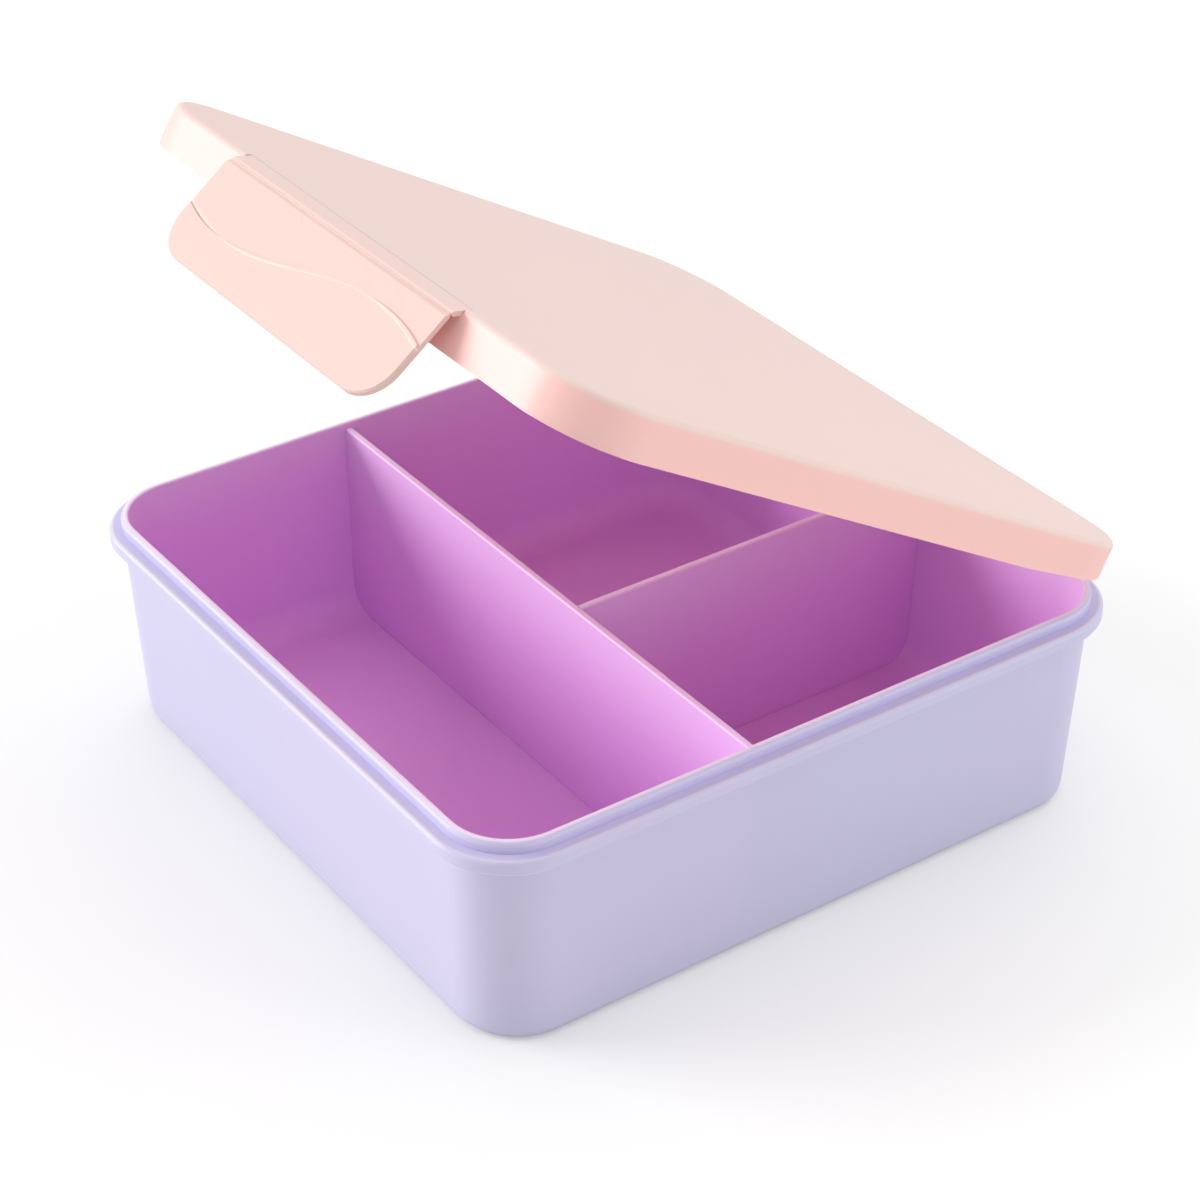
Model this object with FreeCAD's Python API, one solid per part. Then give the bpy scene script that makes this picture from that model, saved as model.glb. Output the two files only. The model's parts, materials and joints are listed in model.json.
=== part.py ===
"""Square lunch box: a divided tub, and a lid with a hooked latch on its front and rear edges.

Millimetres, +Z up. The origin is the middle of the tub's underside. The front latch is on the -Y side.
The lid and its latches are drawn shut, then swung open about the rear latch's groove.
"""
import FreeCAD
import Part
import math
import os

# Tub
OPENING_X = 180.0
OPENING_Y = 182.6
OPENING_RADIUS = 15.3
TUB_HEIGHT = 59.5
TUB_WALL = 2.0
FLOOR_THICKNESS = 2.0
WALL_DRAFT_X = 1.65
WALL_DRAFT_Y = 2.65
BASE_EDGE_RADIUS = 3.0
FLOOR_EDGE_RADIUS = 8.0

# Flange round the tub, and the lip that stands above it
LIP_HEIGHT = 3.1
LIP_INNER_BEVEL = 0.3
LIP_OUTER_RADIUS = 1.2
FLANGE_THICKNESS = 3.6
FLANGE_TOP_RADIUS = 1.2
FLANGE_BOTTOM_BEVEL = 0.5
FLANGE_TAPER = 1.6
FLANGE_MARGIN = 0.5

# Dividers
LONG_DIVIDER_Y = -18.9
CROSS_DIVIDER_X = 18.2
DIVIDER_THICKNESS = 2.0
DIVIDER_DRAFT = 0.3
DIVIDER_DROP = 1.5
DIVIDER_EDGE_RADIUS = 0.5
DIVIDER_CLEARANCE = 0.1

# Lid
SKIRT_GAP = 1.1
SKIRT_WALL = 1.5
SKIRT_HEIGHT = 10.8
SKIRT_DRAFT = 0.3
SKIRT_SEAT_GAP = 0.3
LEAD_IN_WIDTH = 1.1
LEAD_IN_HEIGHT = 2.2
LID_THICKNESS = 2.0
LID_EDGE_RADIUS = 1.5
REAR_RELIEF = 1.6
REAR_RELIEF_LENGTH = 40.0

# Rib under the lid that stands just inside the tub's lip
SEAL_GAP = 0.6
SEAL_THICKNESS = 1.2
SEAL_CLEARANCE = 0.4
SEAL_BEVEL = 0.4

# Hinge strips
GROOVE_INSET = 2.0
GROOVE_WIDTH = 0.3
FRONT_STRIP_REACH = 2.9
REAR_STRIP_REACH = 6.4
HINGE_DROP = 2.3
STRIP_THICKNESS = 1.2
STRIP_CLEARANCE = 0.05
STRIP_END_CLEARANCE = 0.2
HINGE_GAP = 0.4
WEB_THICKNESS = 0.3
HINGE_BEVEL_DEG = 40.0

# Latches
LATCH_WIDTH = 94.2
LATCH_LENGTH = 26.6
LATCH_THICKNESS = 1.6
LATCH_CORNER_RADIUS = 10.0
LATCH_EDGE_BEVEL = 0.4
HOOK_WIDTH = 60.0
HOOK_CATCH = 1.5
HOOK_CLEARANCE = 0.3
HOOK_TIP = 0.8
HOOK_RAMP = 4.0
GRIP_STEP = 0.4
GRIP_MIDDLE = 11.7
GRIP_WAVE = 4.6
GRIP_CREST_X = 26.0

# Rest pose
LID_OPEN_DEG = 30.6
LATCH_FLARE_DEG = 21.9

# Worked out from the sizes above
LIP_X = OPENING_X / 2 + TUB_WALL
LIP_Y = OPENING_Y / 2 + TUB_WALL
LIP_RADIUS = OPENING_RADIUS + TUB_WALL
SKIRT_X = LIP_X + SKIRT_GAP + SKIRT_WALL
SKIRT_Y = LIP_Y + SKIRT_GAP + SKIRT_WALL
SKIRT_RADIUS = LIP_RADIUS + SKIRT_GAP + SKIRT_WALL
FLANGE_X = SKIRT_X + FLANGE_MARGIN
FLANGE_Y = SKIRT_Y + FLANGE_MARGIN
FLANGE_RADIUS = SKIRT_RADIUS + FLANGE_MARGIN
FLANGE_TOP = TUB_HEIGHT - LIP_HEIGHT
FLANGE_BOTTOM = FLANGE_TOP - FLANGE_THICKNESS
SKIRT_BOTTOM = FLANGE_TOP + SKIRT_SEAT_GAP
LID_TOP = SKIRT_BOTTOM + SKIRT_HEIGHT
LID_EDGE_Y = SKIRT_Y - SKIRT_DRAFT
AXIS_Z = LID_TOP - HINGE_DROP
FRONT_AXIS_Y = LID_EDGE_Y + FRONT_STRIP_REACH
REAR_AXIS_Y = LID_EDGE_Y + REAR_STRIP_REACH
FLANGE_REACH = FLANGE_X - LIP_X
DIVIDER_TOP = TUB_HEIGHT - DIVIDER_DROP
SEAL_BOTTOM = DIVIDER_TOP + SEAL_CLEARANCE
OVERSHOOT = 5.0

X_AXIS = FreeCAD.Vector(1, 0, 0)
Z_AXIS = FreeCAD.Vector(0, 0, 1)


def extruded_section(points, x_low, x_high):
    """Prism along X of a closed section given as (y, z) points."""
    corners = [FreeCAD.Vector(x_low, y, z) for y, z in points]
    face = Part.Face(Part.makePolygon(corners + corners[:1]))
    return face.extrude(FreeCAD.Vector(x_high - x_low, 0, 0))


def block(low, high):
    """Block with drafted flat sides and rounded corners, from its ends as (half_x, half_y, radius, z)."""
    low_x, low_y, radius, low_z = low
    high_x, high_y, _, high_z = high
    across_x = [(-low_x, low_z), (low_x, low_z), (high_x, high_z), (-high_x, high_z)]
    across_y = [(-low_y, low_z), (low_y, low_z), (high_y, high_z), (-high_y, high_z)]
    reach = max(low_x, high_x, low_y, high_y) + OVERSHOOT
    sides = extruded_section(across_x, -reach, reach)
    sides.rotate(FreeCAD.Vector(0, 0, 0), Z_AXIS, 90)
    solid = sides.common(extruded_section(across_y, -reach, reach))
    corners = [e for e in solid.Edges if e.BoundBox.ZLength > (high_z - low_z) / 2]
    return solid.makeFillet(radius, corners)


def level_edges(shape, z):
    """Edges that lie wholly at one height."""
    return [e for e in shape.Edges if abs(e.BoundBox.ZMin - z) < 1e-4 and abs(e.BoundBox.ZMax - z) < 1e-4]


def edges_within(edges, half_x, half_y):
    """Those edges that lie wholly inside a rectangle in plan."""
    return [e for e in edges if e.BoundBox.XMax < half_x and e.BoundBox.YMax < half_y
            and e.BoundBox.XMin > -half_x and e.BoundBox.YMin > -half_y]


def swung(shape, axis_y, axis_z, angle):
    """Copy of a shape, turned about a line along X."""
    turned = shape.copy()
    turned.rotate(FreeCAD.Vector(0, axis_y, axis_z), X_AXIS, angle)
    return turned


def wall_outline(z, inset):
    """Outline of the tub's wall at a height, drawn in from its outer face."""
    share = 1 - z / TUB_HEIGHT
    half_x = LIP_X - WALL_DRAFT_X * share - inset
    half_y = LIP_Y - WALL_DRAFT_Y * share - inset
    return half_x, half_y, LIP_RADIUS - inset, z


def tub_hollow(clearance):
    """Space inside the tub, drawn in by a clearance."""
    floor = FLOOR_THICKNESS + clearance
    inset = TUB_WALL + clearance
    hollow = block(wall_outline(floor, inset), wall_outline(TUB_HEIGHT + OVERSHOOT, inset))
    return hollow.makeFillet(FLOOR_EDGE_RADIUS - clearance, level_edges(hollow, floor))


def make_flange():
    """Flange whose underside slopes in to the tub's wall."""
    root = FLANGE_BOTTOM - FLANGE_TAPER
    corner = FreeCAD.Vector(-FLANGE_X, -FLANGE_Y, root)
    flange = Part.makeBox(2 * FLANGE_X, 2 * FLANGE_Y, FLANGE_TOP - root, corner)
    upright = [e for e in flange.Edges if e.BoundBox.ZLength > FLANGE_TAPER]
    flange = flange.makeFillet(FLANGE_RADIUS, upright)
    flange = flange.makeChamfer(FLANGE_TAPER, FLANGE_REACH, level_edges(flange, root))
    flange = flange.makeChamfer(FLANGE_BOTTOM_BEVEL, level_edges(flange, FLANGE_BOTTOM))
    return flange.makeFillet(FLANGE_TOP_RADIUS, level_edges(flange, FLANGE_TOP))


def make_tub():
    body = block(wall_outline(0, 0), wall_outline(TUB_HEIGHT, 0))
    body = body.makeFillet(BASE_EDGE_RADIUS, level_edges(body, 0))
    body = body.makeFillet(LIP_OUTER_RADIUS, level_edges(body, TUB_HEIGHT))
    body = body.fuse(make_flange()).cut(tub_hollow(0))
    half_x = OPENING_X / 2 + LIP_INNER_BEVEL
    half_y = OPENING_Y / 2 + LIP_INNER_BEVEL
    return body.makeChamfer(LIP_INNER_BEVEL, edges_within(level_edges(body, TUB_HEIGHT), half_x, half_y))


def divider_section(middle):
    """Section of a divider: thicker at the floor, with (across, z) points."""
    top = DIVIDER_THICKNESS / 2
    foot = top + DIVIDER_DRAFT
    return [(middle - foot, 0), (middle + foot, 0), (middle + top, DIVIDER_TOP), (middle - top, DIVIDER_TOP)]


def rounded_top(shape):
    return shape.makeFillet(DIVIDER_EDGE_RADIUS, long_edges(level_edges(shape, DIVIDER_TOP)))


def long_edges(edges):
    """The two longest of a set of edges."""
    return sorted(edges, key=lambda e: e.Length)[-2:]


def make_long_divider():
    plate = extruded_section(divider_section(LONG_DIVIDER_Y), -LIP_X, LIP_X)
    return rounded_top(plate.common(tub_hollow(DIVIDER_CLEARANCE)))


def make_cross_divider():
    plate = extruded_section(divider_section(0), 0, LIP_Y - LONG_DIVIDER_Y)
    plate.rotate(FreeCAD.Vector(0, 0, 0), Z_AXIS, 90)
    plate.translate(FreeCAD.Vector(CROSS_DIVIDER_X, LONG_DIVIDER_Y, 0))
    plate = plate.common(tub_hollow(DIVIDER_CLEARANCE))
    reach = DIVIDER_THICKNESS / 2 + DIVIDER_CLEARANCE
    neighbour = [
        (LONG_DIVIDER_Y - reach - DIVIDER_DRAFT, 0),
        (LONG_DIVIDER_Y + reach + DIVIDER_DRAFT, 0),
        (LONG_DIVIDER_Y + reach, DIVIDER_TOP),
        (LONG_DIVIDER_Y - reach, DIVIDER_TOP),
    ]
    return rounded_top(plate.cut(extruded_section(neighbour, -LIP_X, LIP_X)))


def skirt_outline(z, inset):
    """Outline of the lid's skirt at a height, drawn in from its outer face."""
    lean = SKIRT_DRAFT * (z - SKIRT_BOTTOM) / SKIRT_HEIGHT
    drawn_in = lean + inset
    return SKIRT_X - drawn_in, SKIRT_Y - drawn_in, SKIRT_RADIUS - drawn_in, z


def strip_points(reach):
    """Hinge strip's section as (out, z) points, where out is measured beyond the lid's edge."""
    root = (-GROOVE_INSET, LID_TOP - STRIP_THICKNESS / 2)
    run = reach - root[0]
    drop = root[1] - AXIS_Z
    length = math.hypot(run, drop)
    along = (run / length, -drop / length)
    across = (drop / length, run / length)
    half = STRIP_THICKNESS / 2
    tip = length - HINGE_GAP / 2
    shoulder = tip - (half - WEB_THICKNESS / 2) / math.tan(math.radians(HINGE_BEVEL_DEG))

    def point(distance, side):
        out = root[0] + along[0] * distance + across[0] * side
        return out, root[1] + along[1] * distance + across[1] * side

    return [
        (-GROOVE_INSET, LID_TOP),
        point(shoulder, half),
        point(tip, WEB_THICKNESS / 2),
        point(tip, -WEB_THICKNESS / 2),
        point(shoulder, -half),
        (-GROOVE_INSET, LID_TOP - STRIP_THICKNESS),
    ]


def placed(points, side):
    """Section points moved to the front (side -1) or rear (side 1) edge of the lid."""
    return [(side * (LID_EDGE_Y + out), z) for out, z in points]


def make_strip(side, reach):
    return extruded_section(placed(strip_points(reach), side), -LATCH_WIDTH / 2, LATCH_WIDTH / 2)


def strip_rebate(side, reach):
    """Space cut from the lid's edge for a hinge strip, with the fine groove along its root."""
    shoulder = strip_points(reach)[4]
    root = -GROOVE_INSET - GROOVE_WIDTH
    floor = LID_TOP - STRIP_THICKNESS - STRIP_CLEARANCE
    points = [
        (root, LID_TOP + OVERSHOOT),
        (root, floor),
        (-GROOVE_INSET, floor),
        (shoulder[0], shoulder[1] - STRIP_CLEARANCE),
        (shoulder[0], LID_TOP + OVERSHOOT),
    ]
    half = LATCH_WIDTH / 2 + STRIP_END_CLEARANCE
    return extruded_section(placed(points, side), -half, half)


def seal_outline(z, inset):
    drawn_in = SEAL_GAP + inset
    return OPENING_X / 2 - drawn_in, OPENING_Y / 2 - drawn_in, OPENING_RADIUS - drawn_in, z


def make_seal_rib():
    """Rib round the lid's underside, a little way inside the tub's lip."""
    root = LID_TOP - LID_THICKNESS / 2
    rib = block(seal_outline(SEAL_BOTTOM, 0), seal_outline(root, 0))
    rib = rib.cut(block(seal_outline(SEAL_BOTTOM, SEAL_THICKNESS), seal_outline(root, SEAL_THICKNESS)))
    return rib.makeChamfer(SEAL_BEVEL, level_edges(rib, SEAL_BOTTOM))


def make_lid_panel():
    lid = block(skirt_outline(SKIRT_BOTTOM, 0), skirt_outline(LID_TOP, 0))
    lid = lid.makeFillet(LID_EDGE_RADIUS, level_edges(lid, LID_TOP))
    ceiling = LID_TOP - LID_THICKNESS
    hollow = block(skirt_outline(SKIRT_BOTTOM - OVERSHOOT, SKIRT_WALL), skirt_outline(ceiling, SKIRT_WALL))
    lead_in_foot = skirt_outline(SKIRT_BOTTOM, SKIRT_WALL - LEAD_IN_WIDTH)
    lead_in = block(lead_in_foot, skirt_outline(SKIRT_BOTTOM + LEAD_IN_HEIGHT, SKIRT_WALL))
    relief = [
        (SKIRT_Y - REAR_RELIEF_LENGTH, SKIRT_BOTTOM),
        (SKIRT_Y + OVERSHOOT, SKIRT_BOTTOM - OVERSHOOT),
        (SKIRT_Y + OVERSHOOT, SKIRT_BOTTOM + REAR_RELIEF * (1 + OVERSHOOT / REAR_RELIEF_LENGTH)),
    ]
    lid = lid.cut(hollow).cut(lead_in).cut(extruded_section(relief, -FLANGE_X, FLANGE_X))
    lid = lid.fuse(make_seal_rib())
    return lid.cut(strip_rebate(-1, FRONT_STRIP_REACH)).cut(strip_rebate(1, REAR_STRIP_REACH))


def arc(start, middle, end):
    return Part.Arc(start, middle, end).toShape()


def latch_outline(low, high):
    """Latch's plan, hanging below its hinge line, as a prism from one depth to another along Y."""
    half = LATCH_WIDTH / 2
    radius = LATCH_CORNER_RADIUS
    foot = AXIS_Z - LATCH_LENGTH
    bend = radius * (1 - math.sqrt(0.5))

    def point(x, z):
        return FreeCAD.Vector(x, low, z)

    edges = [
        Part.makeLine(point(-half, AXIS_Z), point(half, AXIS_Z)),
        Part.makeLine(point(half, AXIS_Z), point(half, foot + radius)),
        arc(point(half, foot + radius), point(half - bend, foot + bend), point(half - radius, foot)),
        Part.makeLine(point(half - radius, foot), point(radius - half, foot)),
        arc(point(radius - half, foot), point(bend - half, foot + bend), point(-half, foot + radius)),
        Part.makeLine(point(-half, foot + radius), point(-half, AXIS_Z)),
    ]
    return Part.Face(Part.Wire(edges)).extrude(FreeCAD.Vector(0, high - low, 0))


def above_grip(low, high):
    """Prism above the wavy line across the latch, from one depth to another along Y."""
    line = AXIS_Z - GRIP_MIDDLE
    beyond = LATCH_WIDTH / 2 + OVERSHOOT
    top = AXIS_Z + OVERSHOOT
    crest = GRIP_CREST_X
    wave = [(-beyond, 0), (-crest, -GRIP_WAVE), (0, 0), (crest, GRIP_WAVE), (beyond, 0)]
    curve = Part.BSplineCurve()
    curve.interpolate([FreeCAD.Vector(x, low, line + rise) for x, rise in wave])
    corners = [FreeCAD.Vector(beyond, low, line), FreeCAD.Vector(beyond, low, top)]
    corners += [FreeCAD.Vector(-beyond, low, top), FreeCAD.Vector(-beyond, low, line)]
    wire = Part.Wire([curve.toShape()] + Part.makePolygon(corners).Edges)
    return Part.Face(wire).extrude(FreeCAD.Vector(0, high - low, 0))


def make_latch(axis_y):
    """Latch hanging shut on the front: its hinge line is at -axis_y."""
    half = LATCH_THICKNESS / 2
    web = WEB_THICKNESS / 2
    top = AXIS_Z - HINGE_GAP / 2
    shoulder = top - (half - web) / math.tan(math.radians(HINGE_BEVEL_DEG))
    foot = AXIS_Z - LATCH_LENGTH - OVERSHOOT
    grip = -half - GRIP_STEP
    outline = latch_outline(grip, half)
    rims = [e for e in outline.Edges if e.BoundBox.YLength < 1e-6 and e.BoundBox.ZMin < AXIS_Z - 1e-3]
    outline = outline.makeChamfer(LATCH_EDGE_BEVEL, rims)
    wedge = [(-half, shoulder), (-web, top), (web, top), (half, shoulder)]
    wedge += [(half, foot), (grip, foot), (grip, shoulder)]
    width = LATCH_WIDTH / 2
    plate = outline.cut(above_grip(grip - OVERSHOOT, -half)).common(extruded_section(wedge, -width, width))
    edge = axis_y - FLANGE_Y
    edge_top = FLANGE_BOTTOM - HOOK_CLEARANCE
    tip = edge + HOOK_CATCH
    tip_top = edge_top - FLANGE_TAPER * HOOK_CATCH / FLANGE_REACH
    tip_foot = tip_top - HOOK_TIP
    hook = [(0, edge_top), (edge, edge_top), (tip, tip_top), (tip, tip_foot)]
    hook += [(half, tip_foot - HOOK_RAMP), (0, tip_foot - HOOK_RAMP)]
    latch = plate.fuse(extruded_section(hook, -HOOK_WIDTH / 2, HOOK_WIDTH / 2))
    latch.translate(FreeCAD.Vector(0, -axis_y, 0))
    return latch


def lid_opened(shape):
    return swung(shape, REAR_AXIS_Y, AXIS_Z, -LID_OPEN_DEG)


def make_front_latch():
    flared = swung(make_latch(FRONT_AXIS_Y), -FRONT_AXIS_Y, AXIS_Z, -LATCH_FLARE_DEG)
    return lid_opened(flared)


def make_rear_latch():
    latch = make_latch(REAR_AXIS_Y)
    latch.rotate(FreeCAD.Vector(0, 0, 0), Z_AXIS, 180)
    return latch


def main():
    pieces = {
        "tub": make_tub(),
        "long_divider": make_long_divider(),
        "cross_divider": make_cross_divider(),
        "lid_panel": lid_opened(make_lid_panel()),
        "front_hinge_strip": lid_opened(make_strip(-1, FRONT_STRIP_REACH)),
        "front_latch": make_front_latch(),
        "rear_hinge_strip": lid_opened(make_strip(1, REAR_STRIP_REACH)),
        "rear_latch": make_rear_latch(),
    }
    os.makedirs("parts", exist_ok=True)
    for name, shape in pieces.items():
        shape = shape.removeSplitter()
        print(name, shape.isValid(), len(shape.Solids), round(shape.Volume, 1))
        shape.exportStep(os.path.join("parts", name + ".step"))


main()
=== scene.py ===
"""Square lunch box: finishes of the lilac tub and pink lid, hinge webs, skirt corners and a white studio."""
import json
import math

import bmesh
import bpy
from mathutils import Matrix, Vector


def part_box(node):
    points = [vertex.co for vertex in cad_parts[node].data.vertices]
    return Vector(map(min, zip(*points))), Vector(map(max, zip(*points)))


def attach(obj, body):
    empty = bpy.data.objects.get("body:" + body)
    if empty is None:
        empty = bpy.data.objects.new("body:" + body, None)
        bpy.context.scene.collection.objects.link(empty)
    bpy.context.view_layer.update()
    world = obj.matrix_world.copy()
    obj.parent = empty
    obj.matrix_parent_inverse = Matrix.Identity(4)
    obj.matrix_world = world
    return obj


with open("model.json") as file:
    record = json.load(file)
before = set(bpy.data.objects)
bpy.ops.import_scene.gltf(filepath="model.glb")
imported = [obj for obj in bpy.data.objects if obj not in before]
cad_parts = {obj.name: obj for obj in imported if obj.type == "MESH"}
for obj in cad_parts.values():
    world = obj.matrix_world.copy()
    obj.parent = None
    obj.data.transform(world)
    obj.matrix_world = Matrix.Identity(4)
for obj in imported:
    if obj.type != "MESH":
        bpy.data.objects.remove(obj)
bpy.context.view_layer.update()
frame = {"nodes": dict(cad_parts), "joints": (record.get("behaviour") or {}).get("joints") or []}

bl_info = {
    "name": "Lunch Box Finish",
    "version": (1, 0, 0),
    "blender": (4, 5, 0),
    "location": "3D View > Sidebar > Lunch Box",
    "description": "Finishes a moulded lunch box and sets it on a white studio floor",
    "category": "Object",
}

MM = 0.001
WHITE = (1.0, 1.0, 1.0, 1.0)
SEEN_RAYS = ("Is Camera Ray", "Is Glossy Ray", "Is Transmission Ray")

DIVIDER_NODES = ("long_divider", "cross_divider")
STRIP_NODES = ("front_hinge_strip", "rear_hinge_strip")
HINGE_WEBS = {"front_hinge_web": "front_latch_hinge", "rear_hinge_web": "rear_latch_hinge"}
_, TUB_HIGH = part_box("tub")
_, DIVIDER_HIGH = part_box("long_divider")
LATCH_LOW, LATCH_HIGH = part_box("front_latch")
JOINTS = {joint["name"]: joint for joint in frame["joints"]}

# Turns about X of the lid and the front latch as modelled, counted from the shut box
LID_TURN = math.radians(JOINTS["lid_hinge"]["range_deg"][0])
LATCH_TURN = LID_TURN + math.radians(JOINTS["front_latch_hinge"]["range_deg"][0])

# Tub: lip, flange and the middle of the drafted wall
LIP_HEIGHT = 3.1 * MM
FLANGE_EDGE = TUB_HIGH.z - 6.6 * MM
FLANGE_ROOT = TUB_HIGH.z - 8.3 * MM
FLANGE_TO_MIDWALL = 4.1 * MM
WALL_LEAN = Vector((1.65, 2.65)) * MM
MIDWALL_RADIUS = 16.3 * MM

# Lid: its top, and the lower edge of its skirt when shut
LID_TOP_ABOVE_HINGE = 2.3 * MM
SEAT_GAP = 0.3 * MM
SKIRT_FOOT = TUB_HIGH.z - LIP_HEIGHT + SEAT_GAP
SKIRT_INSIDE_FLANGE = 0.5 * MM
SKIRT_RADIUS = 19.9 * MM
SKIRT_LEAN = 0.028
EDGE_SUNK = 0.08 * MM
EDGE_LIFT = 0.02 * MM
EDGE_THICKNESS = 0.4 * MM
EDGE_SLOPE = 0.5
EDGE_HEIGHT = 2.2 * MM

# Latch: the wave of its grip step, down from the hinge
GRIP_MIDDLE = 11.7 * MM
GRIP_WAVE = 4.6 * MM
GRIP_HALF_WAVE = 52.0 * MM

# Patterns of noise, with the scale in patches to a metre, and the stretch of values that shows
FLOW_MARKS = {"scale": 22.0, "detail": 3.0}
GRAIN = {"scale": 2600.0, "detail": 1.0}
SCUFFS = {"scale": 160.0, "detail": 6.0, "roughness": 0.7}
SCUFF_RANGE = (0.58, 0.72)
BLUSH_DRIFT = {"scale": 7.0, "detail": 1.0}
DRIFT_RANGE = (0.38, 0.62)
TUB_CLOUDS = {"scale": 14.0}
LID_CLOUDS = {"scale": 9.0}
FLOOR_PATCHES = {"scale": 30.0}

# How much the patterns change the roughness and relief of the plastic
FLOW_SHEEN = 0.05
SCUFF_SHEEN = 0.06
RELIEF_DEPTH = 0.02 * MM
RELIEF_STRENGTH = 0.25
PLASTIC_IOR = 1.49

# Largest shares of a second colour in a paint
DRIFT_SHARE = 0.35
TUB_CLOUD_SHARE = 0.08
DIVIDER_CLOUD_SHARE = 0.1
LID_CLOUD_SHARE = 0.12
THIN_CLOUD_SHARE = 0.15
STRIP_DEPTH = 0.2
# The next share sets the painted shade round the lip
BAND_FADE = 0.6
# The next two shares set painted highlights along the flange
RIM_SHARE = 0.3
FLANGE_HIGHLIGHT_SHARE = 0.5
# The next share sets the painted light towards the top inside
PAINTED_TOP_LIGHT_SHARE = 0.3
# The next share sets the painted highlight on the dividers' crest
CREST_SHARE = 0.6

# Share of the height from which the tub's inside and the dividers turn paler, painted light for the brighter
# light near the open top
TUB_PALE_FROM = 0.7
DIVIDER_PALE_FROM = 0.5

# Fades of the paints, start and end: up from a level, out from the tub's wall or back from a latch's hinge
# The band fades shape the painted shade on the lip's outer face and the ledge below it
BAND_RISE = (-0.4 * MM, -0.1 * MM)
BAND_REACH = (1.8 * MM, 2.6 * MM)
# The rim and lip edge fades shape painted highlights
RIM_RISE = (-1.2 * MM, -0.6 * MM)
LIP_EDGE_RISE = (-0.4 * MM, -0.05 * MM)
LIP_EDGE_REACH = (0.0, 0.5 * MM)
INSIDE_RISE = (1.0 * MM, 1.6 * MM)
INSIDE_REACH = (-0.3 * MM, 0.3 * MM)
# The crest fade shapes the painted highlight on the dividers
CREST_RISE = (-0.8 * MM, -0.1 * MM)
# The lid top fade shapes the painted deeper pink of the skirt
LID_TOP_RISE = (-2.0 * MM, -0.5 * MM)
# The latch back fade shapes the painted deeper pink on a latch's back
LATCH_BACK = (0.2 * MM, 0.7 * MM)
LATCH_FRONT = (-0.4 * MM, -0.1 * MM)
GRIP_RISE = (-0.1 * MM, 0.2 * MM)

# Painted highlight lines, place and width, or the width alone
RIM_LINE = (3.4 * MM, 0.9 * MM)
STEP_HIGHLIGHT_LINE = (0.1 * MM, 0.8 * MM)
FLANGE_EDGE_WIDTH = 0.5 * MM
FLANGE_ROOT_WIDTH = 0.25 * MM

# Studio: where the lamps shine and over how many degrees, the floor and the camera
KEY_TOWARDS = (0.70, 0.66, -0.25)
KEY_SPREAD = 38
TOP_TOWARDS = (0.11, -0.28, -0.95)
TOP_SPREAD = 70
FLOOR_HALF_SIDE = 6.0
FLOOR_DROP = 0.05 * MM
FLOOR_ROUGHNESS = 0.88
FLOOR_UNEVENNESS = 0.06
FLOOR_GLOSS = 0.1
SENSOR_WIDTH = 36.0
NEAREST_SEEN = 0.01


class Wire:
    """A shader socket that takes part in sums: each operator adds a Math node."""

    def __init__(self, finish, socket):
        self.finish = finish
        self.socket = socket

    def math(self, operation, first, second=0.0):
        return self.finish.node("ShaderNodeMath", {"operation": operation}, {0: first, 1: second})

    def __add__(self, other):
        return self.math("ADD", self, other)

    def __radd__(self, other):
        return self.math("ADD", other, self)

    def __sub__(self, other):
        return self.math("SUBTRACT", self, other)

    def __rsub__(self, other):
        return self.math("SUBTRACT", other, self)

    def __mul__(self, other):
        return self.math("MULTIPLY", self, other)

    def __rmul__(self, other):
        return self.math("MULTIPLY", other, self)

    def __abs__(self):
        return self.math("ABSOLUTE", self)

    def root(self):
        return self.math("SQRT", self)

    def sine(self):
        return self.math("SINE", self)

    def at_least(self, other):
        return self.math("MAXIMUM", self, other)


class Finish:
    """A node tree under construction."""

    def __init__(self, tree):
        self.tree = tree
        tree.nodes.clear()

    def node(self, kind, settings=None, sockets=None, output=0):
        """Add a node: its settings come first, then the values and links of its sockets."""
        made = self.tree.nodes.new(kind)
        for key, value in (settings or {}).items():
            setattr(made, key, value)
        for key, value in (sockets or {}).items():
            if isinstance(value, Wire):
                self.tree.links.new(value.socket, made.inputs[key])
            else:
                made.inputs[key].default_value = value
        return Wire(self, made.outputs[output]) if made.outputs else None

    def place(self):
        """The point on the piece, in metres, as it was modelled."""
        return self.node("ShaderNodeTexCoord", output=3)

    def axes(self, vector):
        parts = self.node("ShaderNodeSeparateXYZ", None, {0: vector})
        outputs = parts.socket.node.outputs
        return [Wire(self, outputs[index]) for index in range(3)]

    def noise(self, scale, detail=2.0, roughness=0.5):
        sockets = {"Vector": self.place(), "Scale": scale, "Detail": detail, "Roughness": roughness}
        return self.node("ShaderNodeTexNoise", None, sockets)

    def step(self, value, low, high):
        """0 below low and 1 above high, smoothly between."""
        settings = {"interpolation_type": "SMOOTHSTEP"}
        return self.node("ShaderNodeMapRange", settings, {0: value, 1: low, 2: high})

    def rise(self, value, level, fade):
        """The same, over a fade that is counted from a level."""
        start, end = fade
        return self.step(value, level + start, level + end)

    def line(self, value, middle, width):
        """1 along a value, fading to 0 half a width to each side."""
        return 1.0 - self.step(abs(value - middle), 0.25 * width, 0.5 * width)

    def mix(self, factor, first, second):
        return self.node("ShaderNodeMix", {"data_type": "RGBA"}, {0: factor, 6: first, 7: second}, output=2)

    def bump(self, height, distance, strength):
        sockets = {"Height": height, "Distance": distance, "Strength": strength}
        return self.node("ShaderNodeBump", None, sockets)

    def seen(self):
        """1 for rays from the camera, off a sheen or through a clear body, 0 for those that light things."""
        path = self.node("ShaderNodeLightPath").socket.node.outputs
        camera, sheen, clear = (Wire(self, path[kind]) for kind in SEEN_RAYS)
        return camera.at_least(sheen).at_least(clear)

    def blend(self, factor, first, second):
        return self.node("ShaderNodeMixShader", None, {0: factor, 1: first, 2: second})


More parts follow.
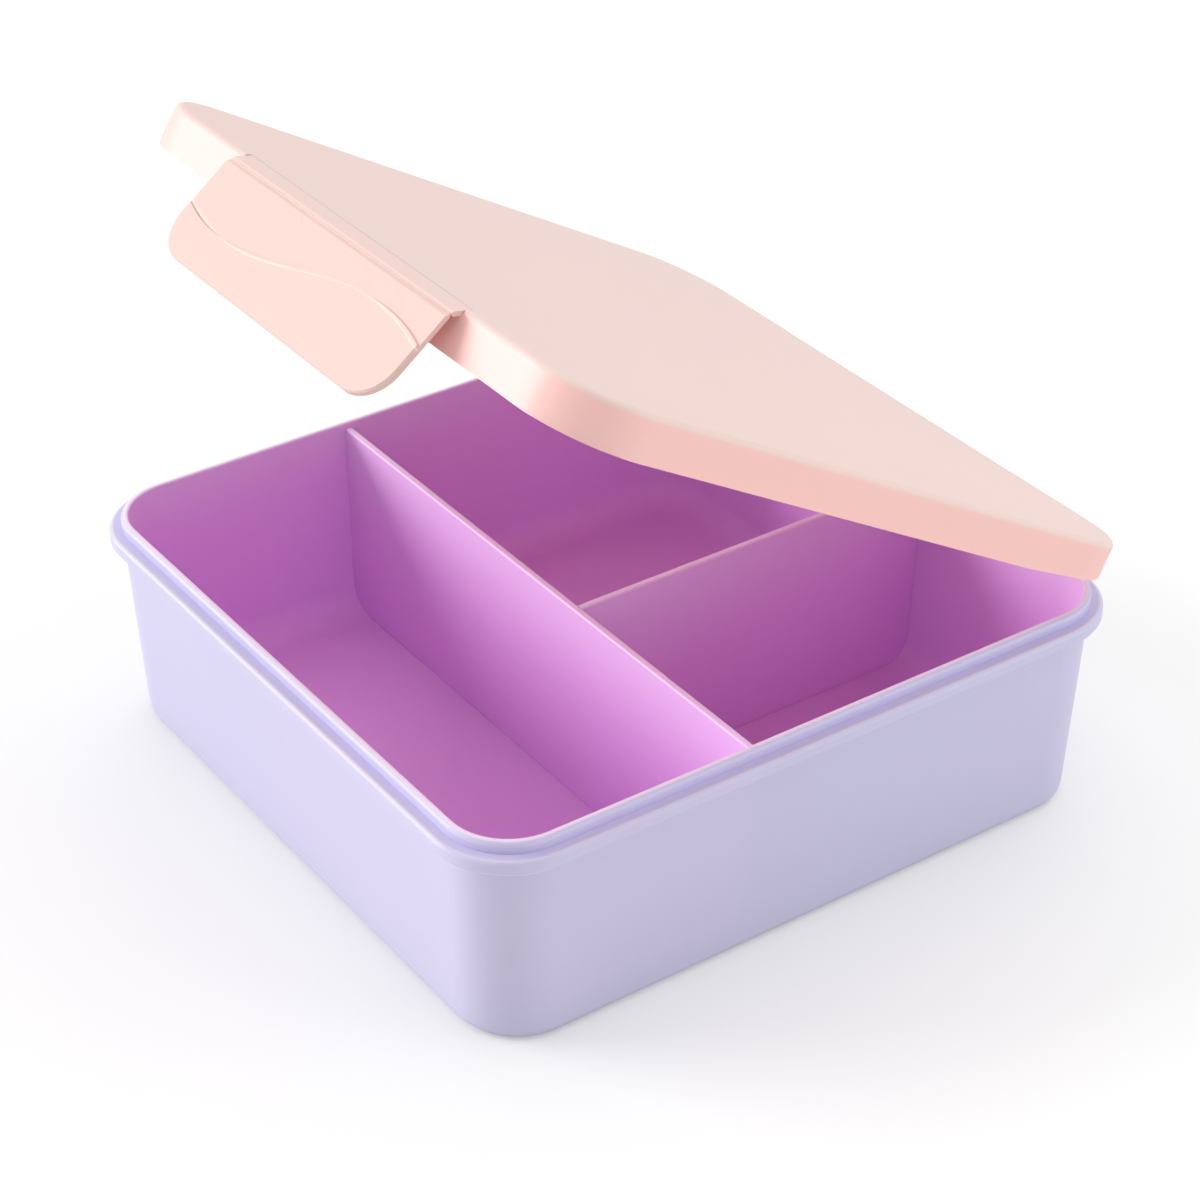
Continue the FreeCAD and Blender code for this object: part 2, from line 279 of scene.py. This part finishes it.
def new_finish(name):
    """A material and the tree that is to be filled in."""
    material = bpy.data.materials.new(name)
    material.use_nodes = True
    return material, Finish(material.node_tree)


def rgba(colour):
    return (*colour, 1.0)


class TubFinish(bpy.types.PropertyGroup):
    """Colours and surface of the lilac tub."""
    outside: bpy.props.FloatVectorProperty(
        name="Outside", description="Lilac of the outer walls", subtype="COLOR", size=3,
        default=(0.575, 0.59, 0.76), min=0, max=1)
    blush: bpy.props.FloatVectorProperty(
        name="Blush", description="Pinker lilac that drifts over the outer walls", subtype="COLOR", size=3,
        default=(0.605, 0.56, 0.725), min=0, max=1)
    # Painted reflection: the deep, bright purple of the compartments stands in for coloured light bounced
    # between the walls and off the food; the plastic is the same lilac as outside
    inside: bpy.props.FloatVectorProperty(
        name="Inside", description="Deeper purple of the compartments", subtype="COLOR", size=3,
        default=(0.95, 0.50, 0.99), min=0, max=1)
    # Pale pinkish white of the painted highlights on the lip, flange and divider tops, of the painted light
    # near the top inside, and of the paler clouds
    lip: bpy.props.FloatVectorProperty(
        name="Lip", description="Pinkish white along the lip's edge", subtype="COLOR", size=3,
        default=(0.90, 0.78, 0.93), min=0, max=1)
    # Painted shade: the bluer, darker lilac of the lip's outer face and the ledge below it stands in for the
    # shade of the lip and its groove
    lip_shade: bpy.props.FloatVectorProperty(
        name="Band", description="Bluer lilac of the lip's outer face", subtype="COLOR", size=3,
        default=(0.59, 0.58, 0.82), min=0, max=1)
    glow: bpy.props.FloatVectorProperty(
        name="Glow", description="Colour of the light that comes through the wall", subtype="COLOR", size=3,
        default=(0.80, 0.62, 0.88), min=0, max=1)
    clarity: bpy.props.FloatProperty(
        name="Clarity", description="Share of the light that passes through the wall",
        default=0.16, min=0, max=1)
    roughness: bpy.props.FloatProperty(
        name="Roughness", description="Satin of the moulded surface", default=0.40, min=0, max=1)


class LidFinish(bpy.types.PropertyGroup):
    """Colours and surface of the pale pink lid and its latches."""
    panel: bpy.props.FloatVectorProperty(
        name="Panel", description="Pale pink of the lid", subtype="COLOR", size=3,
        default=(0.78, 0.645, 0.60), min=0, max=1)
    # Painted light: the deeper pink stands in for light that passes through and bounces inside the
    # translucent plastic
    skirt: bpy.props.FloatVectorProperty(
        name="Skirt", description="Deeper pink of the skirt and underside", subtype="COLOR", size=3,
        default=(0.92, 0.59, 0.55), min=0, max=1)
    latch: bpy.props.FloatVectorProperty(
        name="Latch", description="Pink of the thin latches", subtype="COLOR", size=3,
        default=(0.78, 0.58, 0.53), min=0, max=1)
    grip: bpy.props.FloatVectorProperty(
        name="Grip", description="Duller pink of a latch below its wavy step", subtype="COLOR", size=3,
        default=(0.74, 0.58, 0.525), min=0, max=1)
    # Painted highlight: the paler pink along the edge of the wavy step stands in for light caught by the
    # step's edge
    step_highlight: bpy.props.FloatVectorProperty(
        name="Rubbed", description="Paler pink along the edge of the step", subtype="COLOR", size=3,
        default=(0.86, 0.70, 0.65), min=0, max=1)
    glow: bpy.props.FloatVectorProperty(
        name="Glow", description="Colour of the light that comes through the wall", subtype="COLOR", size=3,
        default=(0.98, 0.50, 0.42), min=0, max=1)
    clarity: bpy.props.FloatProperty(
        name="Clarity", description="Share of the light that passes through the wall",
        default=0.16, min=0, max=1)
    roughness: bpy.props.FloatProperty(
        name="Roughness", description="Satin of the moulded surface", default=0.42, min=0, max=1)
    web_radius: bpy.props.FloatProperty(
        name="Web radius", description="Half thickness of the thin web that bends at a hinge line",
        default=0.24 * MM, min=0.05 * MM, max=1 * MM, unit="LENGTH")


class Studio(bpy.types.PropertyGroup):
    """Camera, lamps and floor."""
    camera_place: bpy.props.FloatVectorProperty(
        name="Camera", description="Where the camera stands", subtype="XYZ", size=3, unit="LENGTH",
        default=(0.5378, -0.3756, 0.4719))
    camera_aim: bpy.props.FloatVectorProperty(
        name="Aim", description="Direction in which the camera looks", subtype="DIRECTION", size=3,
        default=(-0.68586, 0.48024, -0.54678))
    lens: bpy.props.FloatProperty(
        name="Lens", description="Focal length on a 36 mm sensor, in millimetres",
        default=92.17, min=10, max=300)
    key_strength: bpy.props.FloatProperty(
        name="Key lamp", description="Low soft light on the latch side", default=2.85, min=0)
    top_strength: bpy.props.FloatProperty(
        name="Top lamp", description="Soft light from overhead and a little behind", default=1.2, min=0)
    fill_power: bpy.props.FloatProperty(
        name="Fill panel", description="Light of the panel at the right rear, in watts",
        subtype="POWER", unit="POWER", default=2.9, min=0)
    fill_place: bpy.props.FloatVectorProperty(
        name="Fill place", description="Where the fill panel stands", subtype="XYZ", size=3, unit="LENGTH",
        default=(0.75, 0.65, 0.38))
    fill_size: bpy.props.FloatProperty(
        name="Fill size", description="Side of the square fill panel", default=0.7, min=0.05, unit="LENGTH")
    ambient: bpy.props.FloatProperty(
        name="Ambient", description="Light from the white room", default=0.63, min=0, max=2)
    floor: bpy.props.FloatVectorProperty(
        name="Floor", description="Pale studio floor", subtype="COLOR", size=3,
        default=(0.84, 0.84, 0.84), min=0, max=1)
    lift: bpy.props.FloatProperty(
        name="Floor lift", description="Share of plain white in the floor as it is seen",
        default=0.24, min=0, max=1)


def dress(nodes, material):
    """Give CAD nodes one finish."""
    for name in nodes:
        node = frame["nodes"][name]
        node.data.materials.clear()
        node.data.materials.append(material)


def moulded(name, paint, look):
    """Satin moulded polypropylene: faint flow marks, fine grain, and light that comes through the wall."""
    material, finish = new_finish(name)
    flow = finish.noise(**FLOW_MARKS)
    grain = finish.noise(**GRAIN)
    scuff = finish.step(finish.noise(**SCUFFS), *SCUFF_RANGE)
    sheen = look.roughness + FLOW_SHEEN * (flow - 0.5) + SCUFF_SHEEN * scuff
    relief = finish.bump(0.5 * grain + 0.5 * flow, RELIEF_DEPTH, RELIEF_STRENGTH)
    sockets = {"Base Color": paint(finish, look), "Roughness": sheen, "IOR": PLASTIC_IOR, "Normal": relief}
    satin = finish.node("ShaderNodeBsdfPrincipled", None, sockets)
    through = finish.node("ShaderNodeBsdfTranslucent", None, {"Color": rgba(look.glow)})
    finish.node("ShaderNodeOutputMaterial", None, {"Surface": finish.blend(look.clarity, satin, through)})
    return material


def outwards(x, y, z):
    """Distance out from the middle of the tub's drafted wall, below 0 inside the tub."""
    share = 1.0 - z * (1.0 / TUB_HIGH.z)
    core_x = TUB_HIGH.x - FLANGE_TO_MIDWALL - MIDWALL_RADIUS
    core_y = TUB_HIGH.y - FLANGE_TO_MIDWALL - MIDWALL_RADIUS
    over_x = (abs(x) - core_x + WALL_LEAN.x * share).at_least(0.0)
    over_y = (abs(y) - core_y + WALL_LEAN.y * share).at_least(0.0)
    return (over_x * over_x + over_y * over_y).root() - MIDWALL_RADIUS


def tub_paint(finish, look):
    """Lilac outside, purple in the compartments, painted shade round the lip and painted highlights along its
    edges.
    """
    x, y, z = finish.axes(finish.place())
    out = outwards(x, y, z)
    top = TUB_HIGH.z
    root = top - LIP_HEIGHT
    # Painted shade under and on the lip: the ledge and lip face take the darker blue lilac, fading towards
    # the top
    by_lip = finish.rise(z, root, BAND_RISE) * (1.0 - finish.step(out, *BAND_REACH))
    lip_shade = by_lip * (1.0 - BAND_FADE * finish.step(z, root, top))
    drift = DRIFT_SHARE * finish.step(finish.noise(**BLUSH_DRIFT), *DRIFT_RANGE)
    wall = finish.mix(drift, rgba(look.outside), rgba(look.blush))
    outer = finish.mix(lip_shade, wall, rgba(look.lip_shade))
    # Painted highlights: pale lines along the flange's upper outer edge, its lower edge and its root, mixed
    # with random paler clouds
    rim = finish.line(out, *RIM_LINE) * finish.rise(z, root, RIM_RISE)
    flange_edge = finish.line(z, FLANGE_EDGE, FLANGE_EDGE_WIDTH)
    flange_highlights = flange_edge.at_least(finish.line(z, FLANGE_ROOT, FLANGE_ROOT_WIDTH))
    clouds = TUB_CLOUD_SHARE * finish.noise(**TUB_CLOUDS)
    painted_highlights = (RIM_SHARE * rim).at_least(FLANGE_HIGHLIGHT_SHARE * flange_highlights)
    mottled_with_painted_light = finish.mix(painted_highlights.at_least(clouds), outer, rgba(look.lip))
    # Painted light: the inside walls turn paler towards the top, where more light gets in
    upper = PAINTED_TOP_LIGHT_SHARE * finish.step(z, TUB_PALE_FROM * top, top)
    inner = finish.mix(upper, rgba(look.inside), rgba(look.lip))
    # The compartments get the inside purple, a painted reflection of bounced coloured light
    within = (1.0 - finish.step(out, *INSIDE_REACH)) * finish.step(z, *INSIDE_RISE)
    # Painted highlight along the lip's top edge
    edge = finish.rise(z, top, LIP_EDGE_RISE) * (1.0 - finish.step(out, *LIP_EDGE_REACH))
    return finish.mix(edge, finish.mix(within, mottled_with_painted_light, inner), rgba(look.lip))


def divider_paint(finish, look):
    """Purple of painted reflection, with painted light that turns it paler towards the top and a painted
    highlight along the rounded crest.
    """
    _, _, z = finish.axes(finish.place())
    top = DIVIDER_HIGH.z
    upper = PAINTED_TOP_LIGHT_SHARE * finish.step(z, DIVIDER_PALE_FROM * top, top)
    # Painted highlight along the dividers' rounded crest
    crest = CREST_SHARE * finish.rise(z, top, CREST_RISE)
    clouds = DIVIDER_CLOUD_SHARE * finish.noise(**TUB_CLOUDS)
    mottled_with_painted_light = finish.mix(clouds, rgba(look.inside), rgba(look.lip))
    return finish.mix(upper.at_least(crest), mottled_with_painted_light, rgba(look.lip))


def lid_paint(finish, look):
    """Pale pink, painted deeper below the lid's top, where the deeper pink stands in for light passing
    through and bouncing inside the translucent skirt.
    """
    _, y, z = finish.axes(finish.place())
    _, hinge_y, hinge_z = JOINTS["lid_hinge"]["pos_m"]
    height = math.cos(LID_TURN) * (z - hinge_z) - math.sin(LID_TURN) * (y - hinge_y)
    # Painted light: below the top the skirt turns the deeper pink of light passing through the plastic
    below = 1.0 - finish.rise(height, LID_TOP_ABOVE_HINGE, LID_TOP_RISE)
    clouds = LID_CLOUD_SHARE * finish.noise(**LID_CLOUDS)
    return finish.mix(below.at_least(clouds), rgba(look.panel), rgba(look.skirt))


def strip_paint(finish, look):
    """The lid's pink, with a share of the skirt's deeper pink mixed in."""
    clouds = THIN_CLOUD_SHARE * finish.noise(**LID_CLOUDS)
    return finish.mix(STRIP_DEPTH + clouds, rgba(look.panel), rgba(look.skirt))


def latch_paint(joint, turn, side):
    """Paint of the latch on a hinge: a painted deeper pink behind, duller below its wavy step, and a painted
    highlight along the step's edge.
    """
    _, hinge_y, hinge_z = JOINTS[joint]["pos_m"]

    def paint(finish, look):
        x, y, z = finish.axes(finish.place())
        down = math.sin(turn) * (y - hinge_y) - math.cos(turn) * (z - hinge_z)
        wave = (x * (side * math.pi / GRIP_HALF_WAVE)).sine() * GRIP_WAVE
        below = down + wave - GRIP_MIDDLE
        behind = side * (math.cos(turn) * (y - hinge_y) + math.sin(turn) * (z - hinge_z))
        clouds = THIN_CLOUD_SHARE * finish.noise(**LID_CLOUDS)
        # The latch's back gets the skirt's deeper pink, painted light passing through the plastic, mixed with
        # random clouds
        deep = finish.step(behind, *LATCH_BACK).at_least(clouds)
        clouds_and_painted_back = finish.mix(deep, rgba(look.latch), rgba(look.skirt))
        front = 1.0 - finish.step(behind, *LATCH_FRONT)
        gripped = finish.mix(front * finish.step(below, *GRIP_RISE), clouds_and_painted_back, rgba(look.grip))
        # Painted highlight along the edge of the step
        return finish.mix(front * finish.line(below, *STEP_HIGHLIGHT_LINE), gripped, rgba(look.step_highlight))

    return paint


def capsule(name, start, end, radius, sides=16, cap_rings=4):
    """Closed thin bead with rounded ends between two points along X."""
    mesh = bpy.data.meshes.new(name)
    made = bmesh.new()
    rings = []
    for centre, outward in ((start, -1), (end, 1)):
        for index in range(cap_rings):
            share = (index + 0.5) / cap_rings if outward < 0 else 1 - (index + 0.5) / cap_rings
            tilt = share * math.pi / 2
            along = centre.x + outward * radius * math.cos(tilt)
            rings.append((along, radius * math.sin(tilt)))
    loops = []
    for along, ring_radius in rings:
        loop = []
        for side in range(sides):
            turn = 2 * math.pi * side / sides
            across = start.y + ring_radius * math.cos(turn)
            loop.append(made.verts.new((along, across, start.z + ring_radius * math.sin(turn))))
        loops.append(loop)
    for first, second in zip(loops, loops[1:]):
        for side in range(sides):
            following = (side + 1) % sides
            made.faces.new((first[side], first[following], second[following], second[side]))
    made.faces.new(loops[0])
    made.faces.new(loops[-1])
    bmesh.ops.recalc_face_normals(made, faces=made.faces)
    for face in made.faces:
        face.smooth = True
    made.to_mesh(mesh)
    made.free()
    bead = bpy.data.objects.new(name, mesh)
    bpy.context.scene.collection.objects.link(bead)
    return bead


def corner_edge(made, side, steps=24):
    """Add the closed lower edge of the skirt round one front corner, on the shut lid."""
    middle_x = side * (TUB_HIGH.x - SKIRT_INSIDE_FLANGE - SKIRT_RADIUS)
    middle_y = SKIRT_RADIUS + SKIRT_INSIDE_FLANGE - TUB_HIGH.y
    outer = SKIRT_RADIUS - EDGE_SUNK
    inner = SKIRT_RADIUS - EDGE_THICKNESS
    section = [
        (outer, EDGE_LIFT),
        (outer - SKIRT_LEAN * EDGE_HEIGHT, EDGE_HEIGHT),
        (inner - EDGE_SLOPE * EDGE_HEIGHT, EDGE_HEIGHT),
        (inner - EDGE_SLOPE * EDGE_LIFT, EDGE_LIFT),
    ]
    rings = []
    for index in range(steps + 1):
        turn = 0.5 * math.pi * index / steps
        across, along = side * math.cos(turn), -math.sin(turn)
        ring = []
        for reach, rise in section:
            place = (middle_x + across * reach, middle_y + along * reach, SKIRT_FOOT + rise)
            ring.append(made.verts.new(place))
        rings.append(ring)
    for first, second in zip(rings, rings[1:]):
        for corner in range(len(section)):
            following = (corner + 1) % len(section)
            face = made.faces.new((first[corner], first[following], second[following], second[corner]))
            face.smooth = True
            made.edges.get((first[corner], second[corner])).smooth = False
    made.faces.new(rings[0])
    made.faces.new(rings[-1])


class LUNCHBOX_OT_tub(bpy.types.Operator):
    """Finish the tub and its dividers"""
    bl_idname = "lunchbox.tub"
    bl_label = "Tub"

    def execute(self, context):
        look = context.scene.lunchbox_tub
        dress(("tub",), moulded("lilac_tub_plastic", tub_paint, look))
        dress(DIVIDER_NODES, moulded("lilac_divider_plastic", divider_paint, look))
        return {"FINISHED"}


class LUNCHBOX_OT_lid(bpy.types.Operator):
    """Finish the lid, its hinge strips and its latches"""
    bl_idname = "lunchbox.lid"
    bl_label = "Lid and latches"

    def execute(self, context):
        look = context.scene.lunchbox_lid
        dress(("lid_panel",), moulded("pink_lid_plastic", lid_paint, look))
        dress(STRIP_NODES, moulded("pink_strip_plastic", strip_paint, look))
        front = latch_paint("front_latch_hinge", LATCH_TURN, 1)
        rear = latch_paint("rear_latch_hinge", 0.0, -1)
        dress(("front_latch",), moulded("pink_front_latch_plastic", front, look))
        dress(("rear_latch",), moulded("pink_rear_latch_plastic", rear, look))
        return {"FINISHED"}


class LUNCHBOX_OT_hinge_webs(bpy.types.Operator):
    """Add the thin webs on which the latches bend"""
    bl_idname = "lunchbox.hinge_webs"
    bl_label = "Hinge webs"

    def execute(self, context):
        radius = context.scene.lunchbox_lid.web_radius
        material = frame["nodes"]["front_latch"].data.materials[0]
        for name, joint in HINGE_WEBS.items():
            middle = Vector(JOINTS[joint]["pos_m"])
            start = Vector((LATCH_LOW.x + radius, middle.y, middle.z))
            end = Vector((LATCH_HIGH.x - radius, middle.y, middle.z))
            web = capsule(name, start, end, radius)
            web.data.materials.append(material)
            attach(web, "lid")
        return {"FINISHED"}


class LUNCHBOX_OT_skirt_corners(bpy.types.Operator):
    """Complete the lower edge of the lid's skirt at its two front corners"""
    bl_idname = "lunchbox.skirt_corners"
    bl_label = "Skirt corners"

    def execute(self, context):
        made = bmesh.new()
        for side in (-1, 1):
            corner_edge(made, side)
        pivot = Matrix.Translation(JOINTS["lid_hinge"]["pos_m"])
        made.transform(pivot @ Matrix.Rotation(LID_TURN, 4, "X") @ pivot.inverted())
        bmesh.ops.recalc_face_normals(made, faces=made.faces)
        mesh = bpy.data.meshes.new("skirt_corners")
        made.to_mesh(mesh)
        made.free()
        mesh.materials.append(frame["nodes"]["lid_panel"].data.materials[0])
        corners = bpy.data.objects.new("skirt_corners", mesh)
        context.scene.collection.objects.link(corners)
        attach(corners, "lid")
        return {"FINISHED"}


def aim(thing, direction):
    thing.rotation_euler = Vector(direction).to_track_quat("-Z", "Y").to_euler()


def soft_lamp(name, towards, strength, spread):
    """Even light from far away, in a direction, softened by the angle over which it comes."""
    lamp = bpy.data.lights.new(name, "SUN")
    lamp.energy = strength
    lamp.angle = math.radians(spread)
    thing = bpy.data.objects.new(name, lamp)
    bpy.context.scene.collection.objects.link(thing)
    aim(thing, towards)


def soft_panel(name, place, power, size):
    """Square panel of light that faces the box and isn't seen itself."""
    lamp = bpy.data.lights.new(name, "AREA")
    lamp.energy = power
    lamp.size = size
    thing = bpy.data.objects.new(name, lamp)
    thing.location = place
    thing.visible_camera = False
    bpy.context.scene.collection.objects.link(thing)
    aim(thing, Vector((0, 0, 0.5 * TUB_HIGH.z)) - Vector(place))


def white_room(ambient):
    """Even white light, which camera, mirror and see-through rays meet as plain white."""
    world = bpy.data.worlds.new("white_room")
    bpy.context.scene.world = world
    world.use_nodes = True
    room = Finish(world.node_tree)
    light = room.node("ShaderNodeBackground", None, {"Color": WHITE, "Strength": ambient})
    white = room.node("ShaderNodeBackground", None, {"Color": WHITE, "Strength": 1.0})
    room.node("ShaderNodeOutputWorld", None, {"Surface": room.blend(room.seen(), light, white)})


def floor_finish(colour, lift):
    """Pale matt floor with the faintest unevenness, lifted towards white where it is seen."""
    material, finish = new_finish("studio_floor")
    dull = FLOOR_ROUGHNESS + FLOOR_UNEVENNESS * finish.noise(**FLOOR_PATCHES)
    sockets = {"Base Color": rgba(colour), "Roughness": dull, "Specular IOR Level": FLOOR_GLOSS}
    matt = finish.node("ShaderNodeBsdfPrincipled", None, sockets)
    white = finish.node("ShaderNodeEmission", None, {"Color": WHITE, "Strength": 1.0})
    surface = finish.blend(lift * finish.seen(), matt, white)
    finish.node("ShaderNodeOutputMaterial", None, {"Surface": surface})
    return material


class LUNCHBOX_OT_stage(bpy.types.Operator):
    """Set the floor, the lamps, the white room and the camera"""
    bl_idname = "lunchbox.stage"
    bl_label = "Stage"

    def execute(self, context):
        studio = context.scene.lunchbox_studio
        mesh = bpy.data.meshes.new("studio_floor")
        half = FLOOR_HALF_SIDE
        corners = [(-half, -half, 0), (half, -half, 0), (half, half, 0), (-half, half, 0)]
        mesh.from_pydata(corners, [], [(0, 1, 2, 3)])
        mesh.materials.append(floor_finish(studio.floor, studio.lift))
        floor = bpy.data.objects.new("studio_floor", mesh)
        floor.location.z = -FLOOR_DROP
        context.scene.collection.objects.link(floor)
        soft_lamp("key_lamp", KEY_TOWARDS, studio.key_strength, KEY_SPREAD)
        soft_lamp("top_lamp", TOP_TOWARDS, studio.top_strength, TOP_SPREAD)
        soft_panel("fill_panel", studio.fill_place, studio.fill_power, studio.fill_size)
        white_room(studio.ambient)
        camera = bpy.data.cameras.new("camera")
        camera.lens = studio.lens
        camera.sensor_width = SENSOR_WIDTH
        camera.clip_start = NEAREST_SEEN
        thing = bpy.data.objects.new("camera", camera)
        thing.location = studio.camera_place
        aim(thing, studio.camera_aim)
        context.scene.collection.objects.link(thing)
        context.scene.camera = thing
        context.scene.view_settings.view_transform = "Standard"
        return {"FINISHED"}


class LUNCHBOX_PT_panel(bpy.types.Panel):
    """Lists the steps that finish the lunch box"""
    bl_idname = "LUNCHBOX_PT_panel"
    bl_label = "Lunch Box"
    bl_space_type = "VIEW_3D"
    bl_region_type = "UI"
    bl_category = "Lunch Box"

    def draw(self, context):
        for operator in OPERATORS:
            self.layout.operator(operator.bl_idname)
        for group in GROUPS:
            settings = getattr(context.scene, GROUPS[group])
            for name in group.__annotations__:
                self.layout.prop(settings, name)


OPERATORS = (
    LUNCHBOX_OT_tub,
    LUNCHBOX_OT_lid,
    LUNCHBOX_OT_hinge_webs,
    LUNCHBOX_OT_skirt_corners,
    LUNCHBOX_OT_stage,
)
GROUPS = {TubFinish: "lunchbox_tub", LidFinish: "lunchbox_lid", Studio: "lunchbox_studio"}


def register():
    for group, name in GROUPS.items():
        bpy.utils.register_class(group)
        setattr(bpy.types.Scene, name, bpy.props.PointerProperty(type=group))
    for operator in OPERATORS:
        bpy.utils.register_class(operator)
    bpy.utils.register_class(LUNCHBOX_PT_panel)


def unregister():
    bpy.utils.unregister_class(LUNCHBOX_PT_panel)
    for operator in reversed(OPERATORS):
        bpy.utils.unregister_class(operator)
    for group, name in GROUPS.items():
        delattr(bpy.types.Scene, name)
        bpy.utils.unregister_class(group)


def main():
    register()
    bpy.ops.lunchbox.tub()
    bpy.ops.lunchbox.lid()
    bpy.ops.lunchbox.hinge_webs()
    bpy.ops.lunchbox.skirt_corners()
    bpy.ops.lunchbox.stage()


if __name__ == "__main__":
    main()
